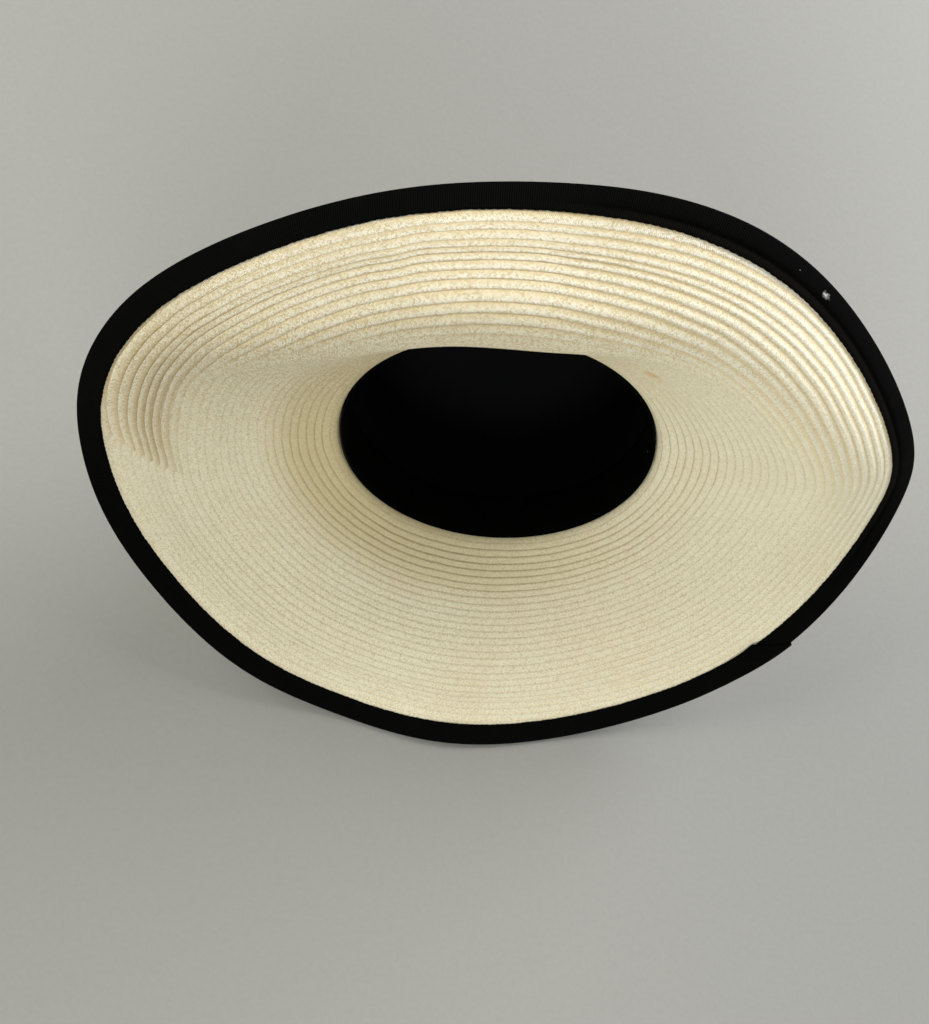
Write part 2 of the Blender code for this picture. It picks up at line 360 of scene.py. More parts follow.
# Noise in space: (scale, detail, roughness)
CLOUD_NOISE = (16.0, 3.0, 0.55)
SPECKLE_NOISE = (1250.0, 2.0, 0.75)
WEAR_NOISE = (60.0, 5.0, 0.65)
WEAVE_NOISE = (900.0, 2.0, 0.5)
SOFT_NOISE = (18.0, 3.0, 0.5)
FLOOR_NOISE = (260.0, 3.0, 0.6)
# The plait: how often it folds over across a row, and how far a fold slants and strays, in strands
PLAIT_FOLDS = 4.0
PLAIT_SLANT = 1.2
PLAIT_STRAY = 0.9
FIBRES = 34.0
# The seam: a stitch is so many strands long, few of its needle holes show, at this share of the row
STITCH_STRANDS = 2.9
HOLE_CHANCE = 0.60
HOLE_SHARE = 0.10
HOLE_CORE = 0.16 * MM
HOLE_RIM = 0.34 * MM
BARK_SCALE = 230.0
BARK_CHANCE = 0.80
# Grosgrain, and lint on it at its places in the frame: (place, size_mm, ragged_mm, strength)
RIB_PITCH = 1.0 * MM
THREAD_PITCH = 0.35 * MM
EDGE_LINT = (
    ((0.1161, 0.0866, 0.2709), 0.32, 1.5, 0.90),
    ((0.1171, 0.0862, 0.2704), 0.55, 2.4, 0.28),
    ((0.1011, 0.0924, 0.2778), 0.15, 0.8, 0.30),
)
BAND_LINT = (((0.0870, 0.0400, 0.1183), 0.25, 1.2, 0.55),)
LINT_COLOUR = (0.50, 0.53, 0.53)
LINT_LIES = (0.86, -0.33, -0.39)
LINT_STRETCH = 0.6
# A faint stain on the straw: its place in the frame, its size and soft edge, and how ragged it is
STAIN_AT = (0.0593, 0.0568, 0.2131)
STAIN_SIZES = (2.2 * MM, 3.4 * MM, 4.0 * MM)

# Soft studio light: a large window of light at the upper right, weaker ones below and at the left
WORLD_COLOUR = (1.0, 1.0, 1.0, 1.0)
WORLD_STRENGTH = 0.13
FLOOR_SIZE = 12.0
LIGHTS_AT = (0.0, 0.0, 0.1)
LIGHT_SIZE = 1.2
# Each light: (name, place, power_w, colour)
LIGHTS = (
    ("upper_right", (1.15, 1.05, 1.0), 44.0, (1.0, 1.0, 0.985)),
    ("below", (0.0, -1.4, 0.9), 18.0, (1.0, 1.0, 0.91)),
    ("left", (-1.2, 0.6, 1.0), 20.0, (1.0, 0.985, 0.83)),
)

# The camera, at the photograph's angle to the hat
CAMERA_AT = (-0.05613, -0.07945, 0.65041)
CAMERA_TURN_DEG = (6.720, -5.346, 7.586)
CAMERA_LENS_MM = 33.19
CAMERA_SENSOR_MM = 36.0


# Tables
def column(rows, names, name):
    place = names.index(name)
    return np.array([row[place] for row in rows], float)


def smooth_around(values, azimuths):
    """A smooth closed curve through one value for each section, read at these azimuths."""
    count = len(values)
    following = np.roll(np.eye(count), 1, axis=1)
    pull = 4.0 * np.eye(count) + following + following.T
    bend = np.linalg.solve(pull, 6.0 * (np.roll(values, -1) - 2.0 * values + np.roll(values, 1)))
    place = np.asarray(azimuths, float) / (360.0 / count)
    whole = np.floor(place).astype(int)
    part = place - whole
    this = whole % count
    after = (whole + 1) % count
    line = (1.0 - part) * values[this] + part * values[after]
    near = ((1.0 - part) ** 3 - (1.0 - part)) * bend[this] / 6.0
    far = (part**3 - part) * bend[after] / 6.0
    return line + near + far


def ease(share):
    share = np.clip(share, 0.0, 1.0)
    return share * share * (3.0 - 2.0 * share)


def section(name, azimuths):
    return smooth_around(column(BRIM_SECTIONS, SECTION_COLUMNS, name), azimuths)


def relief(name, azimuths):
    return smooth_around(column(BRIM_RELIEF, RELIEF_COLUMNS, name), azimuths)


# The brim's surface
class BrimSurface:
    """The side of the brim that faces down when worn, as a fine table of azimuth and reach."""

    def __init__(self, azimuths):
        self.azimuths = azimuths
        self.fine = np.linspace(-HEAD_TURN, BRIM_REACH + FINE_MARGIN, FINE_STEPS)
        self.step = self.fine[1] - self.fine[0]
        self.points = self.points_at(self.azimuths)
        before, after = (self.points_at(self.azimuths + turn) for turn in (-HALF_STEP_DEG, HALF_STEP_DEG))
        normals = np.cross(np.gradient(self.points, axis=1), after - before)
        self.normals = normals / np.linalg.norm(normals, axis=2, keepdims=True)

    def rolled(self, azimuths):
        """How far the brim has turned from its inner fall to its outer rise, for each azimuth and reach."""
        turn_at = section("turn_at_mm", azimuths)[:, None] * MM
        return ease((self.fine[None, :] - turn_at) / ROLL_LENGTH + 0.5)

    def points_at(self, azimuths):
        fall = section("inner_fall_deg", azimuths)[:, None]
        rise = section("outer_rise_deg", azimuths)[:, None]
        rolled = self.rolled(azimuths)
        upright = 1.0 - ease((self.fine[None, :] + HEAD_TURN) / (2.0 * HEAD_TURN))
        slope = fall * (1.0 - rolled) - rise * rolled
        slope = np.radians(slope + (90.0 - slope) * upright)
        middle = slope[:, 1:] / 2 + slope[:, :-1] / 2
        start = np.zeros((len(azimuths), 1))
        out = np.hstack([start, np.cumsum(np.cos(middle), axis=1) * self.step])
        down = np.hstack([start, np.cumsum(np.sin(middle), axis=1) * self.step])
        straight = np.radians(azimuths)[:, None]
        swung = straight + np.radians(section("swing_deg", azimuths))[:, None]
        x = HEAD_RADIUS * np.sin(straight) + out * np.sin(swung)
        y = -HEAD_RADIUS * np.cos(straight) - out * np.cos(swung)
        return np.stack([x, y, HEAD_TURN - down], axis=2)

    def read(self, table, columns, reaches):
        """The table's value in each column at each reach."""
        place = np.clip((reaches - self.fine[0]) / self.step, 0.0, len(self.fine) - 1.001)
        whole = place.astype(int)
        part = place - whole
        if table.ndim == 3:
            part = part[..., None]
        return table[columns, whole] * (1.0 - part) + table[columns, whole + 1] * part

    def at(self, columns, reaches, heights):
        """Points this high over the underside, towards the top side."""
        foot = self.read(self.points, columns, reaches)
        return foot + self.read(self.normals, columns, reaches) * np.asarray(heights)[..., None]


# Meshes
def linked(name, data):
    """A new object with this data, in the scene."""
    obj = bpy.data.objects.new(name, data)
    bpy.context.scene.collection.objects.link(obj)
    return obj


def signed_volume(quads):
    """Six times the volume inside these quads, below zero when they face inwards."""
    first, second, third, fourth = (quads[:, corner] for corner in range(4))
    halves = np.cross(first, second) * third + np.cross(first, third) * fourth
    return halves.sum()


def mesh_piece(name, parts, material):
    """A smooth mesh of these parts; corners carry a place (along, across) and points carry marks."""
    points, quads, places, marks = joined(parts)
    if signed_volume(points[quads]) < 0.0:
        quads = quads[:, ::-1]
        places = places[:, ::-1]
    _, first, index = np.unique(np.round(points / WELD), axis=0, return_index=True, return_inverse=True)
    faces = []
    corners = []
    for face, on_cloth in zip(index.reshape(-1)[quads].tolist(), places.tolist()):
        kept = [k for k in range(len(face)) if face[k] != face[k - 1]]
        if len(kept) > 2:
            faces.append([face[k] for k in kept])
            corners.extend(on_cloth[k] for k in kept)
    mesh = bpy.data.meshes.new(name)
    mesh.from_pydata(points[first].tolist(), [], faces)
    layer = mesh.uv_layers.new(name="cloth")
    layer.data.foreach_set("uv", np.array(corners, np.float32).ravel())
    for start, values in ((0, "marks"), (3, "weave_and_painted_relief")):
        layer = mesh.attributes.new(values, "FLOAT_VECTOR", "POINT")
        layer.data.foreach_set("vector", marks[first, start : start + 3].astype(np.float32).ravel())
    mesh.materials.append(material)
    mesh.shade_smooth()
    mesh.set_sharp_from_angle(angle=math.radians(SHARP_DEG))
    return linked(name, mesh)


class SpiralRows:
    """A spiral of sewn rows: one line of reaches for each share of a row, held between low and high."""

    def __init__(self, columns, low, high, edge, outer_rows_mm, profile, wander):
        self.columns = columns
        self.shares = column(profile, PROFILE_COLUMNS, "share")
        self.count = int(math.ceil((high - low) / ROW_PITCH)) + SPARE_ROWS
        turns = np.arange((self.count + 2) * columns) / columns
        even = row_line(turns, self.count, edge, outer_rows_mm)
        lines = (even + wander(turns, even)).reshape(-1, columns)
        starts = lines[:-1, None, :]
        reaches = starts + (lines[1:, None, :] - starts) * self.shares[:, None]
        self.reaches = np.clip(reaches, low, high).reshape(-1, columns)

    def spread(self, profile, name):
        """The profile's value for every line."""
        return np.tile(column(profile, PROFILE_COLUMNS, name), self.count + 1)[:, None]

    def lengths(self, points):
        """The length of the braid from its start to each column of each row, following the spiral."""
        steps = np.linalg.norm(np.diff(points[:: len(self.shares)].reshape(-1, 3), axis=0), axis=1)
        return np.concatenate([[0.0], np.cumsum(steps), [steps.sum() + steps[-1]]])

    def faces(self, points, flip):
        """Quads between the lines of points, and the place of each corner on the braid."""
        lengths = self.lengths(points)
        across = len(self.shares)
        lines = np.arange(self.count * across - 1)
        near = lines[:, None] * self.columns + np.arange(self.columns)
        following = np.roll(near, -1, axis=1)
        following[:, -1] += across * self.columns
        quads = np.stack([near, near + self.columns, following + self.columns, following], axis=2)
        kept = np.ptp(self.reaches.reshape(-1)[quads], axis=2) > THINNEST
        turn = lines[:, None] // across * self.columns + np.arange(self.columns)
        this, after = (lengths[turn + step] / STRAND for step in (0, 1))
        ends = np.append(self.shares, 1.0)
        low, high = (np.broadcast_to(ends[lines % across + step][:, None], turn.shape) for step in (0, 1))
        places = np.stack([this, low, this, high, after, high, after, low], axis=2)
        places = places.reshape(*turn.shape, 4, 2)
        order = -1 if flip else 1
        return quads[kept][:, ::order], places[kept][:, ::order]


def row_line(turns, count, edge, outer_rows_mm):
    """The even spiral, this many turns on; the rows next to the edge have widths of their own."""
    widths = np.full(count + 2, ROW_PITCH)
    last = count - 1
    widths[last - len(outer_rows_mm) : last] = np.array(outer_rows_mm[::-1]) * MM
    lines = np.append(0.0, np.cumsum(widths))
    return np.interp(turns, np.arange(len(lines)), lines - lines[last] + edge)


def plain_band(first_points, second_points):
    """A part that closes the gap between two rings of the same number of points."""
    count = len(first_points)
    near = np.arange(count)
    after = (near + 1) % count
    quads = np.stack([near, near + count, after + count, after], axis=1)
    along = near[:, None] + np.array((0.0, 0.0, 1.0, 1.0))
    across = np.broadcast_to((0.0, 0.5, 0.5, 0.0), along.shape)
    return np.concatenate([first_points, second_points]), quads, np.stack([along, across], axis=2), NO_MARKS


def joined(parts):
    """One set of points, quads, places and marks from several."""
    points, quads, places, marks = zip(*parts)
    starts = np.cumsum([0] + [len(some) for some in points])
    quads = [some + start for some, start in zip(quads, starts)]
    marks = [np.broadcast_to(some, (len(at), 6)) for some, at in zip(marks, points)]
    return tuple(np.concatenate(each) for each in (points, quads, places, marks))


def row_wander(turns, lines):
    """How far a row line strays from its even place, this many turns along the spiral."""
    stray = np.zeros_like(lines)
    for order, (rate, size) in enumerate(ROW_WANDER):
        stray += size * MM * np.sin(math.tau * rate * turns + WANDER_START * order)
    return stray


def brim_wander(turns, lines):
    """The same with the bends of the brim's rows at its crease and at a few softer places."""
    stray = row_wander(turns, lines)
    azimuths = np.mod(turns, 1.0) * 360.0
    away = from_crease(azimuths, lines)
    width = np.where(away > 0.0, BUCKLE_AFTER_DEG, BUCKLE_BEFORE_DEG)
    stray -= BUCKLE * np.exp(-((away / width) ** 2)) * ease((lines - BUCKLE_FROM) / BUCKLE_FADE)
    spread = np.sin(math.pi * np.clip((BINDING_FROM - lines) / SPREAD_REACH, 0.0, 1.0))
    stray -= SPREAD_SHIFT * spread * np.exp(-(((azimuths - SPREAD_AZIMUTH_DEG) / SPREAD_WIDTH_DEG) ** 2))
    stray += run_out(azimuths, lines)
    for azimuth, reach, size, width in BENDS:
        share = (azimuths - azimuth) / width
        near = np.exp(-(((lines - reach * MM) / BEND_REACH) ** 2))
        stray += size * MM * BEND_PEAK * share * np.exp(-share * share) * near
    return stray


def run_out(azimuths, lines):
    """How far the rows on the right lie further out, most of all the outer ones."""
    gone = ease((azimuths - RUN_OUT_FROM_DEG) / RUN_OUT_OVER_DEG)
    back = ease((azimuths - RUN_BACK_FROM_DEG) / RUN_BACK_OVER_DEG)
    outer = 1.0 - ease((BINDING_FROM - lines - RUN_OUT_DEPTH) / RUN_OUT_FADE)
    return gone * (1.0 - back) * (RUN_OUT_ALL + RUN_OUT_OUTER * outer)


def from_crease(azimuths, reaches):
    """Degrees from the left crease, which slants a little across the rows."""
    return azimuths - CREASE_AZIMUTH_DEG - CREASE_SLANT_DEG * (reaches / MM - CREASE_REACH_MM)


# Brim
def make_brim(material):
    surface = BrimSurface(np.arange(BRIM_COLUMNS) * 360.0 / BRIM_COLUMNS)
    sides = [brim_side(surface, FACE_PROFILE, -1.0, 0.0), brim_side(surface, BACK_PROFILE, 1.0, STRAW)]
    return mesh_piece("brim_straw", sides + brim_ends(surface), material)


def brim_side(surface, profile, outward, base):
    """The rows of one side, with outward -1 where it faces down when worn and 1 on the top side."""
    rows = SpiralRows(BRIM_COLUMNS, -HEAD_TURN, BRAID_TO, BINDING_FROM, OUTER_ROWS_MM, profile, brim_wander)
    reaches = rows.reaches
    azimuths = surface.azimuths
    columns = np.arange(BRIM_COLUMNS)
    read = {name: relief(name, azimuths) for name in RELIEF_COLUMNS[1:]}
    inner = 1.0 - ease((reaches - INNER_MIDDLE) / INNER_FADE + 0.5)
    away = from_crease(azimuths, reaches)
    left = azimuths > RIDGES_FROM_DEG
    pleated = ease((reaches - read["pleats_from_mm"] * MM) / PLEAT_FADE + 0.5)
    pleated *= np.where(left, ease(away / RIDGES_FADE_DEG + 0.5), 1.0)

    # Over the smooth surface: the rows' beads, the pleats or ridges of the whole straw, and the crease
    to_edge = BINDING_FROM - reaches
    shown = ease((reaches - RELIEF_FROM) / RELIEF_FADE) * ease(to_edge / EDGE_FADE)
    outer = 1.0 - OUTER_FLAT * ease((reaches - OUTER_FROM) / OUTER_FADE)
    bead_size = inner * INNER_BEAD + (1.0 - inner) * read["bead_mm"] * MM * outer
    bead = rows.spread(profile, "bead") * bead_size * shown * outward
    pleat_form = np.where(left, rows.spread(profile, "ridge"), rows.spread(profile, "pleat"))
    pleat = -pleat_form * read["pleat_mm"] * MM * shown * pleated
    crease = CREASE_DEPTH * np.exp(-((away / CREASE_WIDTH_DEG) ** 2))
    crease *= ease((reaches - CREASE_FROM) / CREASE_FADE) * ease(to_edge / CREASE_EDGE_FADE)
    points = surface.at(columns, reaches, base + bead + pleat + crease)
    quads, places = rows.faces(points, outward > 0.0)

    # What the points carry for their material
    line = inner * INNER_LINE + (1.0 - inner) * read["line"]
    yellow = inner * (YELLOW_MEAN + YELLOW_SWING * np.cos(np.radians(azimuths - YELLOW_AZIMUTH_DEG)))
    rolled = surface.read(surface.rolled(azimuths), columns, reaches)
    weave = np.broadcast_to(read["weave"], reaches.shape)
    # How strong the painted highlight on the beads and the painted shade in the grooves are, less outside
    # the pleats
    painted_relief_light = read["painted_relief_light"] * np.maximum(pleated, PAINTED_RELIEF_LEAST)
    ridged = pleated * left * np.clip((read["pleat_mm"] - RIDGED_FROM_MM) / RIDGED_OVER_MM, 0.0, 1.0)
    if outward > 0.0:
        painted_relief_light *= PAINTED_RELIEF_ON_TOP
        ridged *= 0.0
    marks = np.stack([line, yellow, rolled, weave, painted_relief_light, ridged], axis=2).reshape(-1, 6)
    return points.reshape(-1, 3), quads, places, marks


def brim_ends(surface):
    """The plain bands at the head line and under the binding, which close the brim."""
    edge = ((BRAID_TO, 0.0), (BRIM_REACH, 0.0), (BRIM_REACH, STRAW), (BRAID_TO, STRAW))
    head = ((-HEAD_TURN, STRAW), (-HEAD_TURN, 0.0))
    columns = np.arange(BRIM_COLUMNS)
    pairs = (edge[0:2], edge[1:3], edge[2:4], head)
    return [plain_band(*(surface.at(columns, *place) for place in pair)) for pair in pairs]


# Crown
def turned(radii, heights, around):
    """Points of revolution, one for each radius, height and angle."""
    radii, heights, around = np.broadcast_arrays(radii, heights, around)
    return np.stack([radii * np.sin(around), -radii * np.cos(around), heights], axis=-1)


def crown_surface(inset):
    """The crown's surface this far inside: a function to its points, and its length from the middle."""
    top = CROWN_HEIGHT - inset
    corner = CROWN_CORNER - inset
    flat = CROWN_TOP_RADIUS - inset - corner
    bend = corner * math.pi / 2.0
    drop = top - corner - HEAD_TURN - GAP
    spread = HEAD_RADIUS - CROWN_TOP_RADIUS
    side = math.hypot(drop, spread)

    def points(lengths, heights, around):
        angle = np.clip((lengths - flat) / corner, 0.0, math.pi / 2.0)
        down = np.clip((lengths - flat - bend) / side, 0.0, 1.0)
        outward = np.sin(angle)
        upward = np.cos(angle)
        radius = np.minimum(lengths, flat) + corner * outward + spread * down
        height = top - corner + corner * upward - drop * down
        return turned(radius + outward * heights, height + upward * heights, around)

    return points, flat + bend + side


def make_crown(material):
    surface, total = crown_surface(0.0)
    around = np.arange(CROWN_COLUMNS) * math.tau / CROWN_COLUMNS
    rows = SpiralRows(CROWN_COLUMNS, 0.0, total, total, (), CROWN_PROFILE, row_wander)
    shown = ease(rows.reaches / CROWN_TIP_FADE) * ease((total - rows.reaches) / CROWN_END_FADE)
    heights = STRAW + (rows.spread(CROWN_PROFILE, "bead") - 1.0) * CROWN_BEAD * shown
    points = surface(rows.reaches, heights, around)
    quads, places = rows.faces(points, True)
    parts = [(points.reshape(-1, 3), quads, places, CROWN_MARKS)]
    inner = np.linspace(0.0, total, CROWN_INNER_LINES)
    rings = [*surface(inner[:, None], 0.0, around), surface(total, STRAW, around)]
    parts += [plain_band(*pair) for pair in zip(rings, rings[1:])]
    return mesh_piece("crown_straw", parts, material)


# Cloth as slabs
def slab(outer, inner, wraps, marks):
    """A closed slab between two grids of points, whose columns close on themselves when it wraps round."""
    middle = outer.mean(axis=0)
    along = np.cumsum(np.linalg.norm(np.roll(middle, -1, axis=0) - middle, axis=1))
    across = np.append(0.0, np.cumsum(np.linalg.norm(np.diff(outer, axis=0), axis=2).mean(axis=1)))
    points = np.concatenate([outer, inner[::-1]])
    lines, columns, _ = points.shape
    here = np.arange(lines * columns).reshape(lines, columns)
    after = np.roll(here, -1, axis=1)
    quads = np.stack([here, np.roll(here, -1, axis=0), np.roll(after, -1, axis=0), after], axis=2)
    on_cloth = np.empty((lines, columns, 2))
    on_cloth[:, :, 0] = np.append(0.0, along[:-1])
    on_cloth[:, :, 1] = np.append(across, across[::-1])[:, None]
    on_cloth = on_cloth.reshape(-1, 2)
    places = on_cloth[quads]
    places[:, -1, 2:, 0] = along[-1]
    if wraps:
        quads = quads.reshape(-1, 4)
        places = places.reshape(-1, 4, 2)
    else:
        outside = here[: lines // 2, [0, -1]]
        inside = here[::-1][: lines // 2, [0, -1]]
        caps = np.stack([outside[1:], outside[:-1], inside[:-1], inside[1:]], axis=2)
        caps[:, 1] = caps[:, 1, ::-1]
        caps = caps.reshape(-1, 4)
        quads = np.concatenate([quads[:, :-1].reshape(-1, 4), caps])
        places = np.concatenate([places[:, :-1].reshape(-1, 4, 2), on_cloth[caps]])
    marks = np.concatenate([marks, marks[::-1]]).reshape(-1, 3)
    marks = np.concatenate([marks, np.zeros_like(marks)], axis=1)
    return points.reshape(-1, 3), quads, places, marks


def rough_line(count, smooth, seed):
    """A closed line of even noise, about -1 to 1, smoothed over this many places."""
    values = np.random.default_rng(seed).uniform(-1.0, 1.0, count)
    window = np.hanning(smooth + 2)
    spectrum = np.fft.rfft(values) * np.fft.rfft(window / window.sum(), count)
    smoothed = np.fft.irfft(spectrum, count)
    return smoothed / np.abs(smoothed).max()


# Edge binding
def binding_lines():
    """Across the binding and round its nose: outer and inner (reach, height), and marks."""
    read = {name: column(BINDING_SECTION, BINDING_SECTION_COLUMNS, name) for name in BINDING_SECTION_COLUMNS}
    shares = read["share"]
    heights = read["height_mm"] * MM
    reaches = BINDING_FROM + BINDING_LEG * shares
    angles = np.linspace(-math.pi / 2.0, math.pi / 2.0, NOSE_STEPS)
    middle = STRAW / 2.0
    gaps = np.full(len(reaches), GAP)

    def line(nose, half, under, over):
        across = [reaches, BRIM_REACH + nose * np.cos(angles), reaches[::-1]]
        height = [-under, middle + half * np.sin(angles), (STRAW + over)[::-1]]
        return np.stack([np.concatenate(across), np.concatenate(height)], axis=1)

    half = middle + GAP + RIBBON
    outer = line(NOSE_OUT * half, half, heights, np.minimum(heights, GAP + RIBBON))
    inner = line(NOSE_IN * GAP, middle + GAP, gaps, gaps)
    marks = np.zeros((len(outer), 3))
    # Where the fold runs, and so where its shade is painted
    marks[: len(shares), 0] = read["fold_and_painted_shade"]
    marks[: len(shares), 1] = 1.0 - ease((shares - ZONE_TO) / ZONE_FADE)
    return outer, inner, marks


def make_edge_binding(material):
    azimuths = np.arange(RIBBON_COLUMNS) * 360.0 / RIBBON_COLUMNS
    surface = BrimSurface(azimuths)
    outer, inner, marks = binding_lines()
    stray = sum(size * MM * rough_line(RIBBON_COLUMNS, smooth, seed) for size, smooth, seed in BINDING_STRAY)
    stray += STITCH_DENT * (np.arange(RIBBON_COLUMNS) % STITCH_COLUMNS == 0)
    to_channel = np.cos(np.radians(azimuths - CHANNEL_AZIMUTH_DEG))
    creased = ease((to_channel - CHANNEL_FROM_COS) / CHANNEL_FADE_COS)
    grids = []
    for lines, depth in ((outer, CHANNEL_DEPTH), (inner, 0.0)):
        near_leg = ease((BRIM_REACH - NOSE_STILL - lines[:, :1]) / (BINDING_LEG - NOSE_STILL))
        reaches = lines[:, :1] + near_leg * stray
        heights = lines[:, 1:] + marks[:, :1] * depth * creased
        grids.append(surface.at(np.arange(RIBBON_COLUMNS), reaches, heights))
    shown = marks[:, None, :] * creased[None, :, None]
    return mesh_piece("edge_binding_ribbon", [slab(*grids, True, shown)], material)


def make_binding_lap(material):
    """The ribbon's end over its beginning: cut aslant, and lost in the binding further on."""
    before, after = LAP_FINE_MARGINS_DEG
    azimuths = np.linspace(LAP_FROM_DEG - before, LAP_OUT_DEG + after, LAP_FINE_COLUMNS)
    surface = BrimSurface(azimuths)
    outer, _, _ = binding_lines()
    reach = outer[:, :1]
    height = outer[:, 1:]
    shares = np.clip((reach - BINDING_FROM) / BINDING_LEG, 0.0, 1.0)
    begin = LAP_FROM_DEG + LAP_INNER_DEG + LAP_SLANT_DEG * shares
    places = np.linspace(0.0, 1.0, LAP_COLUMNS) ** LAP_CROWDING
    at = begin + (LAP_OUT_DEG - begin) * places
    lifted = 1.0 - ease(places)
    side = np.where(height < STRAW / 2.0, -1.0, 1.0)
    nose = np.clip((reach - BRIM_REACH) / LAP_NOSE, 0.0, 1.0)
    grids = []
    for rise in (LAP_UNDER + LAP_THIN + LAP_RISE * lifted, np.full(LAP_COLUMNS, LAP_UNDER)):
        reaches = reach + nose * rise - LAP_OVERHANG * (1.0 - shares) ** 4 * lifted**6
        heights = height + side * (1.0 - LAP_NOSE_FLAT * nose) * rise
        grids.append(between_columns(surface, azimuths, at, reaches, heights))
    return mesh_piece("binding_lap_end", [slab(*grids, False, np.zeros(grids[0].shape))], material)


def between_columns(surface, azimuths, at, reaches, heights):
    """Points at azimuths that lie between the surface's columns."""
    place = (at - azimuths[0]) / (azimuths[1] - azimuths[0])
    whole = np.clip(place.astype(int), 0, len(azimuths) - 2)
    part = (place - whole)[..., None]
    near = surface.at(whole, reaches, heights)
    return near * (1.0 - part) + surface.at(whole + 1, reaches, heights) * part


# Materials
class Graph:
    """Short names for adding nodes to one material."""

    def __init__(self, name):
        self.material = bpy.data.materials.new(name)
        self.material.use_nodes = True
        self.tree = self.material.node_tree

    def node(self, kind, inputs=None, **settings):
        """The outputs of a new node; its inputs are given by name or place."""
        made = self.tree.nodes.new("ShaderNode" + kind)
        for name, value in settings.items():
            setattr(made, name, value)
        self.fill(made, inputs or {})
        return made.outputs

    def fill(self, node, inputs):
        for name, value in inputs.items():
            if isinstance(value, bpy.types.NodeSocket):
                self.tree.links.new(value, node.inputs[name])
            else:
                node.inputs[name].default_value = value

    def shaded(self, **inputs):
        """The material, once its shader has these inputs."""
        inputs = {name.replace("_", " "): value for name, value in inputs.items()}
        self.fill(self.tree.nodes["Principled BSDF"], inputs)
        return self.material

    def math(self, operation, *values):
        return self.node("Math", dict(enumerate(values)), operation=operation)[0]

    def vector_math(self, operation, *values):
        return self.node("VectorMath", dict(enumerate(values)), operation=operation)

    def times(self, *values):
        return functools.reduce(functools.partial(self.math, "MULTIPLY"), values)

    def plus(self, *values):
        return functools.reduce(functools.partial(self.math, "ADD"), values)

    def minus(self, first, second):
        return self.math("SUBTRACT", first, second)

    def ramp(self, value, low, high, start=0.0, end=1.0):
        """value from low to high, eased, becomes start to end."""
        inputs = dict(enumerate((value, low, high, start, end)))
        return self.node("MapRange", inputs, interpolation_type="SMOOTHSTEP")[0]

    def mix(self, share, *colours):
        """The first colour turned to the second by this share; numbers are red, green and blue."""
        first, second = ((*tone, 1.0) if isinstance(tone, tuple) else tone for tone in colours)
        return self.node("Mix", {0: share, 6: first, 7: second}, data_type="RGBA")[2]

    def layers(self, colour, table, shares):
        """The colour under each layer of a table in turn, by the layer's strength and its share here."""
        for name, strength, tone in table:
            colour = self.mix(self.times(shares[name], strength), colour, tone)
        return colour

    def noise(self, vector, scale, detail=3.0, roughness=0.5):
        inputs = {"Vector": vector, "Scale": scale, "Detail": detail, "Roughness": roughness}
        return self.node("TexNoise", inputs)["Fac"]

    def combine(self, x, y, z=0.0):
        return self.node("CombineXYZ", {0: x, 1: y, 2: z})[0]

    def split(self, vector):
        return tuple(self.node("SeparateXYZ", {0: vector}))

    def chance(self, vector):
        """An even random number for each whole place."""
        return self.node("TexWhiteNoise", {"Vector": vector}, noise_dimensions="3D")["Value"]

    def marks(self, name):
        """Three of the values that a point carries."""
        return self.split(self.node("Attribute", attribute_name=name)["Vector"])

    def on_cloth(self):
        """How far along and across the cloth."""
        return self.split(self.node("UVMap", uv_map="cloth")["UV"])[:2]

    def space(self):
        return self.node("TexCoord")["Object"]

    def bump(self, height, distance):
        return self.node("Bump", {"Distance": distance, "Height": height})["Normal"]


def spot(graph, space, centre, size, soft, ragged, lies=(0.0, 0.0, 0.0)):
    """1 within size of a point in space and 0 past size + soft, ragged, and longer the way it lies."""
    gap = graph.vector_math("SUBTRACT", space, centre)["Vector"]
    length = graph.vector_math("LENGTH", gap)["Value"]
    along = graph.vector_math("DOT_PRODUCT", gap, lies)["Value"]
    nearer = graph.times(graph.math("ABSOLUTE", along), LINT_STRETCH)
    rough = graph.times(graph.minus(graph.noise(space, 520.0, 4.0), 0.5), ragged)
    return graph.ramp(graph.plus(graph.minus(length, nearer), rough), size, size + soft, 1.0, 0.0)


def plait(graph, along, across):
    """Strands slant to and fro across the row: how far inside one a place is, and the strand's chance."""
    folds = graph.times(across, PLAIT_FOLDS)
    slant = graph.times(graph.math("PINGPONG", folds, 1.0), PLAIT_SLANT)
    drift = graph.combine(graph.times(along, 0.3), graph.times(across, 2.0))
    slanted = graph.plus(along, slant, graph.times(graph.noise(drift, 1.0), PLAIT_STRAY))
    strand = graph.math("SINE", graph.times(graph.math("FRACT", slanted), math.pi))
    return strand, graph.chance(graph.combine(graph.math("FLOOR", slanted), graph.math("FLOOR", folds)))


def row_shares(graph, along, across, marks):
    """Painted highlight on beads, painted shade in grooves, dark step lines of seam and painted shade; in
    the ridges painted shade on slopes, painted highlight on crests.
    """
    line, _, rolled, _, painted_relief_share, ridged = marks
    zone = {name: graph.ramp(across, *ends) for name, ends in ROW_ZONES.items()}
    flat = graph.minus(1.0, ridged)
    broken = graph.noise(graph.combine(graph.times(along, 0.3), 0.0), 1.0, 4.0)
    broken = graph.ramp(broken, 0.3, 0.62, 0.5, 1.0)
    return {
        # A painted highlight on the beads, painted shade in the grooves, and lines that are partly seam and
        # partly painted shade
        "bead": graph.times(zone["bead"], flat, painted_relief_share, rolled),
        "painted_groove_shade": graph.times(zone["painted_groove_shade"], painted_relief_share, flat),
        "line": graph.times(graph.math("MAXIMUM", zone["step_up"], zone["step_down"]), line, broken),
        # In the ridges: painted shade on the slopes and a painted highlight on the crests
        "slope": graph.times(zone["slope"], ridged),
        "painted_crest_highlight": graph.times(zone["painted_crest_highlight"], ridged),
    }


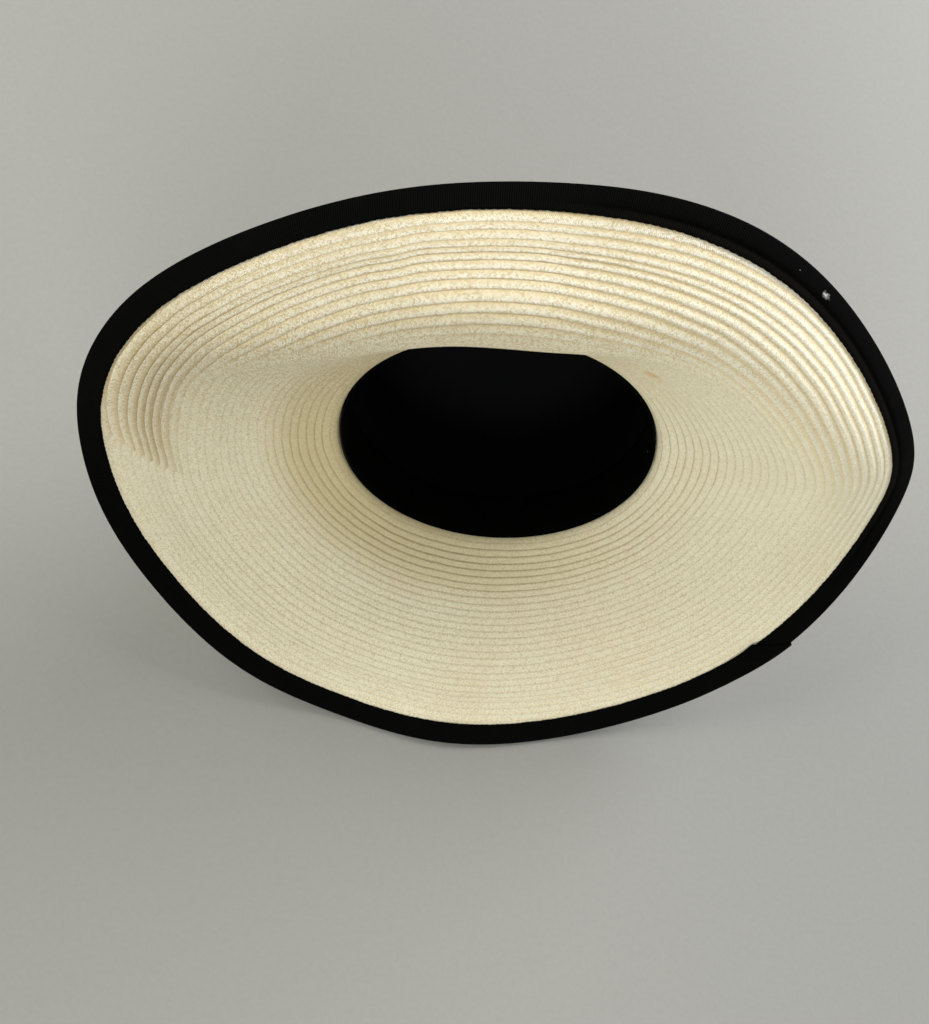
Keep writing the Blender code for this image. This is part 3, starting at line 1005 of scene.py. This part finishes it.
def strand_shares(graph, space, strand, chance, weave, clear):
    """Each strand has its own tone with fine specks, painted shade at its edges, and a painted glint on the
    palest ones.
    """
    speckle = graph.ramp(graph.noise(space, *SPECKLE_NOISE), 0.40, 0.60, -0.80, 0.50)
    pale = graph.ramp(chance, 0.10, 0.45, 1.0, 0.0)
    return {
        "tone": graph.times(graph.plus(graph.times(chance, 0.95), speckle), clear),
        # Painted shade at the strands' edges, and a painted glint on the palest ones
        "edge": graph.times(graph.minus(1.0, strand), clear),
        "painted_glint": graph.times(pale, graph.ramp(strand, 0.5, 0.9), weave),
    }


def needle_holes(graph, along, across):
    """Holes of the seam, few and uneven."""
    seam = graph.math("DIVIDE", along, STITCH_STRANDS)
    stitch = graph.combine(graph.math("FLOOR", seam), 7.0)
    drawn = graph.math("GREATER_THAN", graph.chance(stitch), HOLE_CHANCE)
    beside = graph.times(graph.minus(graph.math("FRACT", seam), 0.5), STITCH_STRANDS * STRAND)
    over = graph.times(graph.minus(across, HOLE_SHARE), ROW_PITCH)
    away = graph.plus(graph.times(beside, beside), graph.times(over, over))
    return graph.times(graph.ramp(away, HOLE_CORE**2, HOLE_RIM**2, 1.0, 0.0), drawn)


def bark_specks(graph, space):
    grain = graph.node("TexVoronoi", {"Vector": space, "Scale": BARK_SCALE})
    rare = graph.math("GREATER_THAN", graph.chance(grain["Color"]), BARK_CHANCE)
    return graph.times(graph.ramp(grain["Distance"], 0.03, 0.10, 1.0, 0.0), rare)


def straw_material():
    graph = Graph("braided_straw")
    space = graph.space()
    along, across = graph.on_cloth()
    marks = graph.marks("marks") + graph.marks("weave_and_painted_relief")
    _, near_opening, rolled, weave, _, _ = marks
    stray = graph.noise(graph.combine(graph.times(along, 0.13), 0.0), 1.0, 3.0)
    across = graph.plus(across, graph.times(graph.minus(stray, 0.5), 0.16))
    strand, chance = plait(graph, along, across)
    clear = graph.plus(0.32, graph.times(weave, 0.66))
    hole = needle_holes(graph, along, across)
    shares = {
        "cloud": graph.ramp(graph.noise(space, *CLOUD_NOISE), 0.35, 0.7, 0.0, 0.35),
        "opening": near_opening,
        **row_shares(graph, along, across, marks),
        **strand_shares(graph, space, strand, chance, weave, clear),
        "hole": graph.times(hole, graph.ramp(rolled, 0.2, 0.9, 0.42, 0.15)),
        "bark": bark_specks(graph, space),
        "stain": spot(graph, space, STAIN_AT, *STAIN_SIZES),
    }
    colour = graph.layers(graph.mix(weave, STRAW_FAINT, STRAW_CLEAR), STRAW_LAYERS, shares)
    fibre = graph.noise(graph.combine(graph.times(along, 2.0), graph.times(across, FIBRES)), 3.0)
    height = graph.times(graph.plus(strand, graph.times(fibre, 0.4)), clear)
    height = graph.minus(height, graph.times(hole, 0.8))
    return graph.shaded(
        Base_Color=colour,
        Roughness=graph.ramp(chance, 0.0, 1.0, 0.42, 0.68),
        Specular_IOR_Level=0.4,
        Normal=graph.bump(height, 0.34 * MM),
    )


def ribbon_material(name, lint):
    graph = Graph(name)
    space = graph.space()
    along, across = graph.on_cloth()
    fold_and_painted_shade, inner_zone, pale_lower_edge = graph.marks("marks")
    rib = graph.math("FRACT", graph.math("DIVIDE", along, RIB_PITCH))
    rounded = graph.math("SINE", graph.times(rib, math.pi))
    # How much painted highlight a place on a rib gets, most at its top
    rib_tip_highlight = graph.math("POWER", rounded, 3.0)
    thread = graph.math("SINE", graph.times(across, math.tau / THREAD_PITCH))
    wear = graph.noise(space, *WEAR_NOISE)
    shares = {
        "wear": graph.ramp(wear, 0.45, 0.8, 0.0, 0.5),
        # Painted shade in the fold
        "fold_and_painted_shade": fold_and_painted_shade,
        # A warmer painted highlight on the ribs' tops in the inner zone
        "warm_tip_highlight": graph.times(inner_zone, rib_tip_highlight),
        "pale_lower_edge": pale_lower_edge,
    }
    colour = graph.layers(graph.mix(rib_tip_highlight, RIB_FOOT_SHADE, RIB_TIP_HIGHLIGHT), RIBBON_LAYERS, shares)
    for place, size, ragged, strength in lint:
        fluff = spot(graph, space, place, size * MM, size * MM, ragged * MM, LINT_LIES)
        colour = graph.mix(graph.times(fluff, strength), colour, LINT_COLOUR)
    return graph.shaded(
        Base_Color=colour,
        Roughness=graph.ramp(wear, 0.3, 0.8, 0.62, 0.8),
        Specular_IOR_Level=0.015,
        Sheen_Weight=0.002,
        Sheen_Roughness=0.5,
        Normal=graph.bump(graph.plus(rounded, graph.times(thread, 0.12)), 0.20 * MM),
    )


def lining_material():
    graph = Graph("lining_cotton")
    space = graph.space()
    return graph.shaded(
        Base_Color=graph.mix(graph.noise(space, *SOFT_NOISE), *LINING_TONES),
        Roughness=0.85,
        Specular_IOR_Level=0.04,
        Normal=graph.bump(graph.noise(space, *WEAVE_NOISE), 0.1 * MM),
    )


def floor_material():
    graph = Graph("backdrop_paper")
    grain = graph.noise(graph.space(), *FLOOR_NOISE)
    return graph.shaded(
        Base_Color=graph.mix(grain, *FLOOR_TONES),
        Roughness=0.9,
        Specular_IOR_Level=0.1,
        Normal=graph.bump(grain, 0.1 * MM),
    )


# Inside
def make_sweatband(material):
    around = np.arange(BAND_COLUMNS) * math.tau / BAND_COLUMNS
    share = SWEATBAND_HIGH / (CROWN_HEIGHT - CROWN_CORNER)
    high = HEAD_RADIUS - (HEAD_RADIUS - CROWN_TOP_RADIUS) * share - GAP
    low = HEAD_RADIUS - 1.5 * GAP
    levels = np.linspace(0.0, 1.0, BAND_LINES)[:, None]
    heights = SWEATBAND_LOW + (SWEATBAND_HIGH - SWEATBAND_LOW) * levels
    outside = low + (high - low) * levels
    loose = np.sin(math.pi * levels) * BAND_LOOSE * (0.5 + 0.5 * rough_line(BAND_COLUMNS, *BAND_SWELL))
    edge = ease((levels - BAND_EDGE_FROM) / BAND_EDGE_FADE)
    edge *= ease((1.0 + BAND_EDGE_FROM - levels) / BAND_EDGE_FADE)
    inside = outside - SWEATBAND * (BAND_THIN + (1.0 - BAND_THIN) * edge) - loose
    grids = [turned(radii, heights, around) for radii in (inside, outside)]
    marks = np.zeros(grids[0].shape)
    # Paler on its lower edge round one azimuth
    marks[0, :, 2] = np.exp(-(((np.degrees(around) - PALE_EDGE_AZIMUTH_DEG) / PALE_EDGE_WIDTH_DEG) ** 2))
    return mesh_piece("sweatband_ribbon", [slab(*grids, True, marks)], material)


def make_lining(material):
    """A flat tip, a seam round it, and a wall gathered in soft folds down to the sweatband."""
    around = np.arange(BAND_COLUMNS) * math.tau / BAND_COLUMNS
    outer_surface, total = crown_surface(GAP)
    inner_surface, _ = crown_surface(GAP + LINING)
    lengths = np.linspace(0.0, total - (SWEATBAND_HIGH - HEAD_TURN), LINING_LINES)[:, None]
    stray = GATHER_STRAY * rough_line(BAND_COLUMNS, *GATHER_NOISE)
    fold = 0.5 + 0.5 * np.sin(around * GATHERS + stray)
    gathered = ease((lengths - GATHERED_FROM) / GATHERED_FADE) * GATHER_DEPTH
    seam = SEAM_DEPTH * np.exp(-(((lengths - SEAM_AT) / SEAM_WIDTH) ** 2))
    inside = inner_surface(lengths, -(gathered * fold + seam), around)
    outside = outer_surface(lengths, 0.0, around)
    slabs = [slab(inside, outside, True, np.zeros(inside.shape))]
    return mesh_piece("crown_lining_cloth", slabs, material)


# Pose, stage, lights and camera
def worn_to_frame(record):
    """The matrix from the worn frame to the frame's own pose, from the mount on the crown's flat tip."""
    mount = next(mount for mount in record["mounts"] if mount["name"] == "crown_tip")
    up = Vector(mount["axis"]).normalized()
    right = up.cross(Vector((0.0, 1.0, 0.0))).normalized()
    back = up.cross(right)
    turn = Matrix((right, back, up)).transposed().to_4x4()
    origin = Vector(mount["pos_m"]) - up * (CROWN_HEIGHT + STRAW)
    return Matrix.Translation(origin) @ turn


def make_floor():
    bpy.ops.mesh.primitive_plane_add(size=FLOOR_SIZE, location=(0.0, 0.0, 0.0))
    floor = bpy.context.object
    floor.name = "floor"
    floor.data.materials.append(floor_material())


def area_light(name, place, power, colour):
    data = bpy.data.lights.new(name, "AREA")
    data.shape = "DISK"
    data.size = LIGHT_SIZE
    data.energy = power
    data.color = colour
    light = linked(name, data)
    light.location = place
    light.rotation_euler = (Vector(LIGHTS_AT) - Vector(place)).to_track_quat("-Z", "Y").to_euler()


def make_lights():
    world = bpy.data.worlds.new("studio")
    bpy.context.scene.world = world
    world.use_nodes = True
    background = world.node_tree.nodes["Background"]
    background.inputs["Color"].default_value = WORLD_COLOUR
    background.inputs["Strength"].default_value = WORLD_STRENGTH
    for light in LIGHTS:
        area_light(*light)


def make_camera():
    data = bpy.data.cameras.new("camera")
    data.lens = CAMERA_LENS_MM
    data.sensor_width = CAMERA_SENSOR_MM
    camera = linked("camera", data)
    camera.location = CAMERA_AT
    camera.rotation_euler = Euler([math.radians(angle) for angle in CAMERA_TURN_DEG])
    bpy.context.scene.camera = camera


def place_piece(piece, pose, body, slot, *nodes):
    piece.data.transform(pose)
    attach(piece, body)
    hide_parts(*nodes)


def main():
    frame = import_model()
    pose = worn_to_frame(frame["record"])
    body = next(iter(frame["bodies"]))
    straw = straw_material()
    ribbon = ribbon_material("grosgrain_edge", EDGE_LINT)
    band = ribbon_material("grosgrain_band", BAND_LINT)
    place_piece(make_brim(straw), pose, body, "straw", "brim")
    place_piece(make_crown(straw), pose, body, "straw", "crown")
    binding = make_edge_binding(ribbon)
    lap = make_binding_lap(ribbon)
    sweatband = make_sweatband(band)
    lining = make_lining(lining_material())
    place_piece(binding, pose, body, "ribbon", "edge_binding")
    place_piece(lap, pose, body, "ribbon", "binding_lap")
    place_piece(sweatband, pose, body, "ribbon", "sweatband")
    place_piece(lining, pose, body, "lining", "crown_lining")
    make_floor()
    make_lights()
    make_camera()
    bpy.context.scene.view_settings.view_transform = "Standard"
    bpy.context.view_layer.update()


main()
